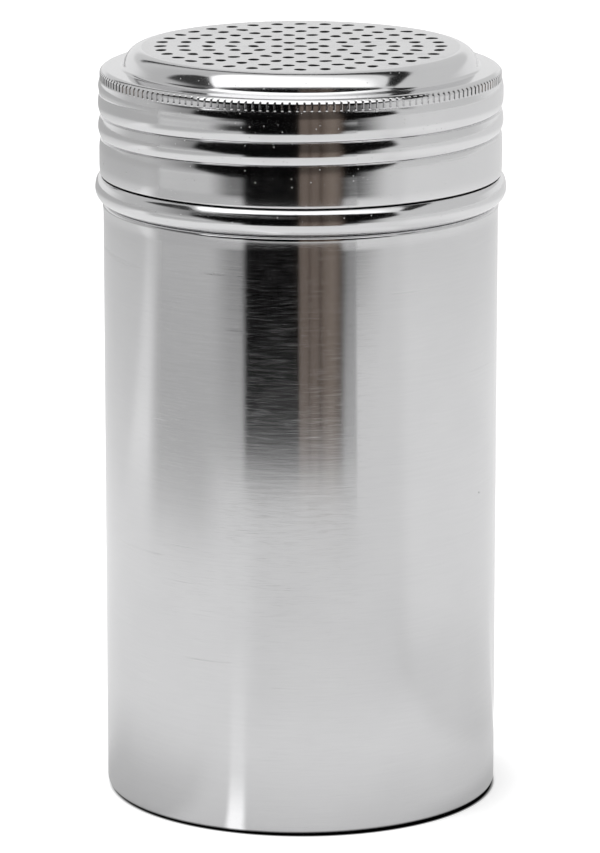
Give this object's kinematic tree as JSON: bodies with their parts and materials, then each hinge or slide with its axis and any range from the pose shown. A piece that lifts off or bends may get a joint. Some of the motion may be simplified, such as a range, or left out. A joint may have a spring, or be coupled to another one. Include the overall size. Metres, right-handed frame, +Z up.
{
  "type": "sugar dredger",
  "caption": "Straight round stainless steel shaker can with a rolled bead and a screw neck, under a threaded and knurled lid with a flat perforated top.",
  "frame": {"origin": "centre of the ring that the can stands on", "axes": "+Z up along the can's axis towards the lid; the picture is taken from -Y, with +X to its right"},
  "size_m": [0.0728, 0.0728, 0.1346],
  "materials": {
    "can_steel": "brushed round the wall, bead polished",
    "lid_steel": "polished",
    "seal_silicone": "matt"
  },
  "bodies": {
    "can": {"can": "can_steel"},
    "seal": {"seal": "seal_silicone"},
    "lid": {"lid": "lid_steel"}
  },
  "joints": [
    {"name": "lid_rise", "type": "slide", "parent": "can", "child": "seal", "axis": [0, 0, 1], "range_m": [0, 0.0181]},
    {"name": "lid_turn", "type": "hinge", "parent": "seal", "child": "lid", "pos_m": [0, 0, 0.12], "axis": [0, 0, 1], "range_deg": [0, 1620]}
  ],
  "couplings": [
    {"joint": "lid_rise", "follows": "lid_turn", "m_per_rad": 0.00063662}
  ]
}
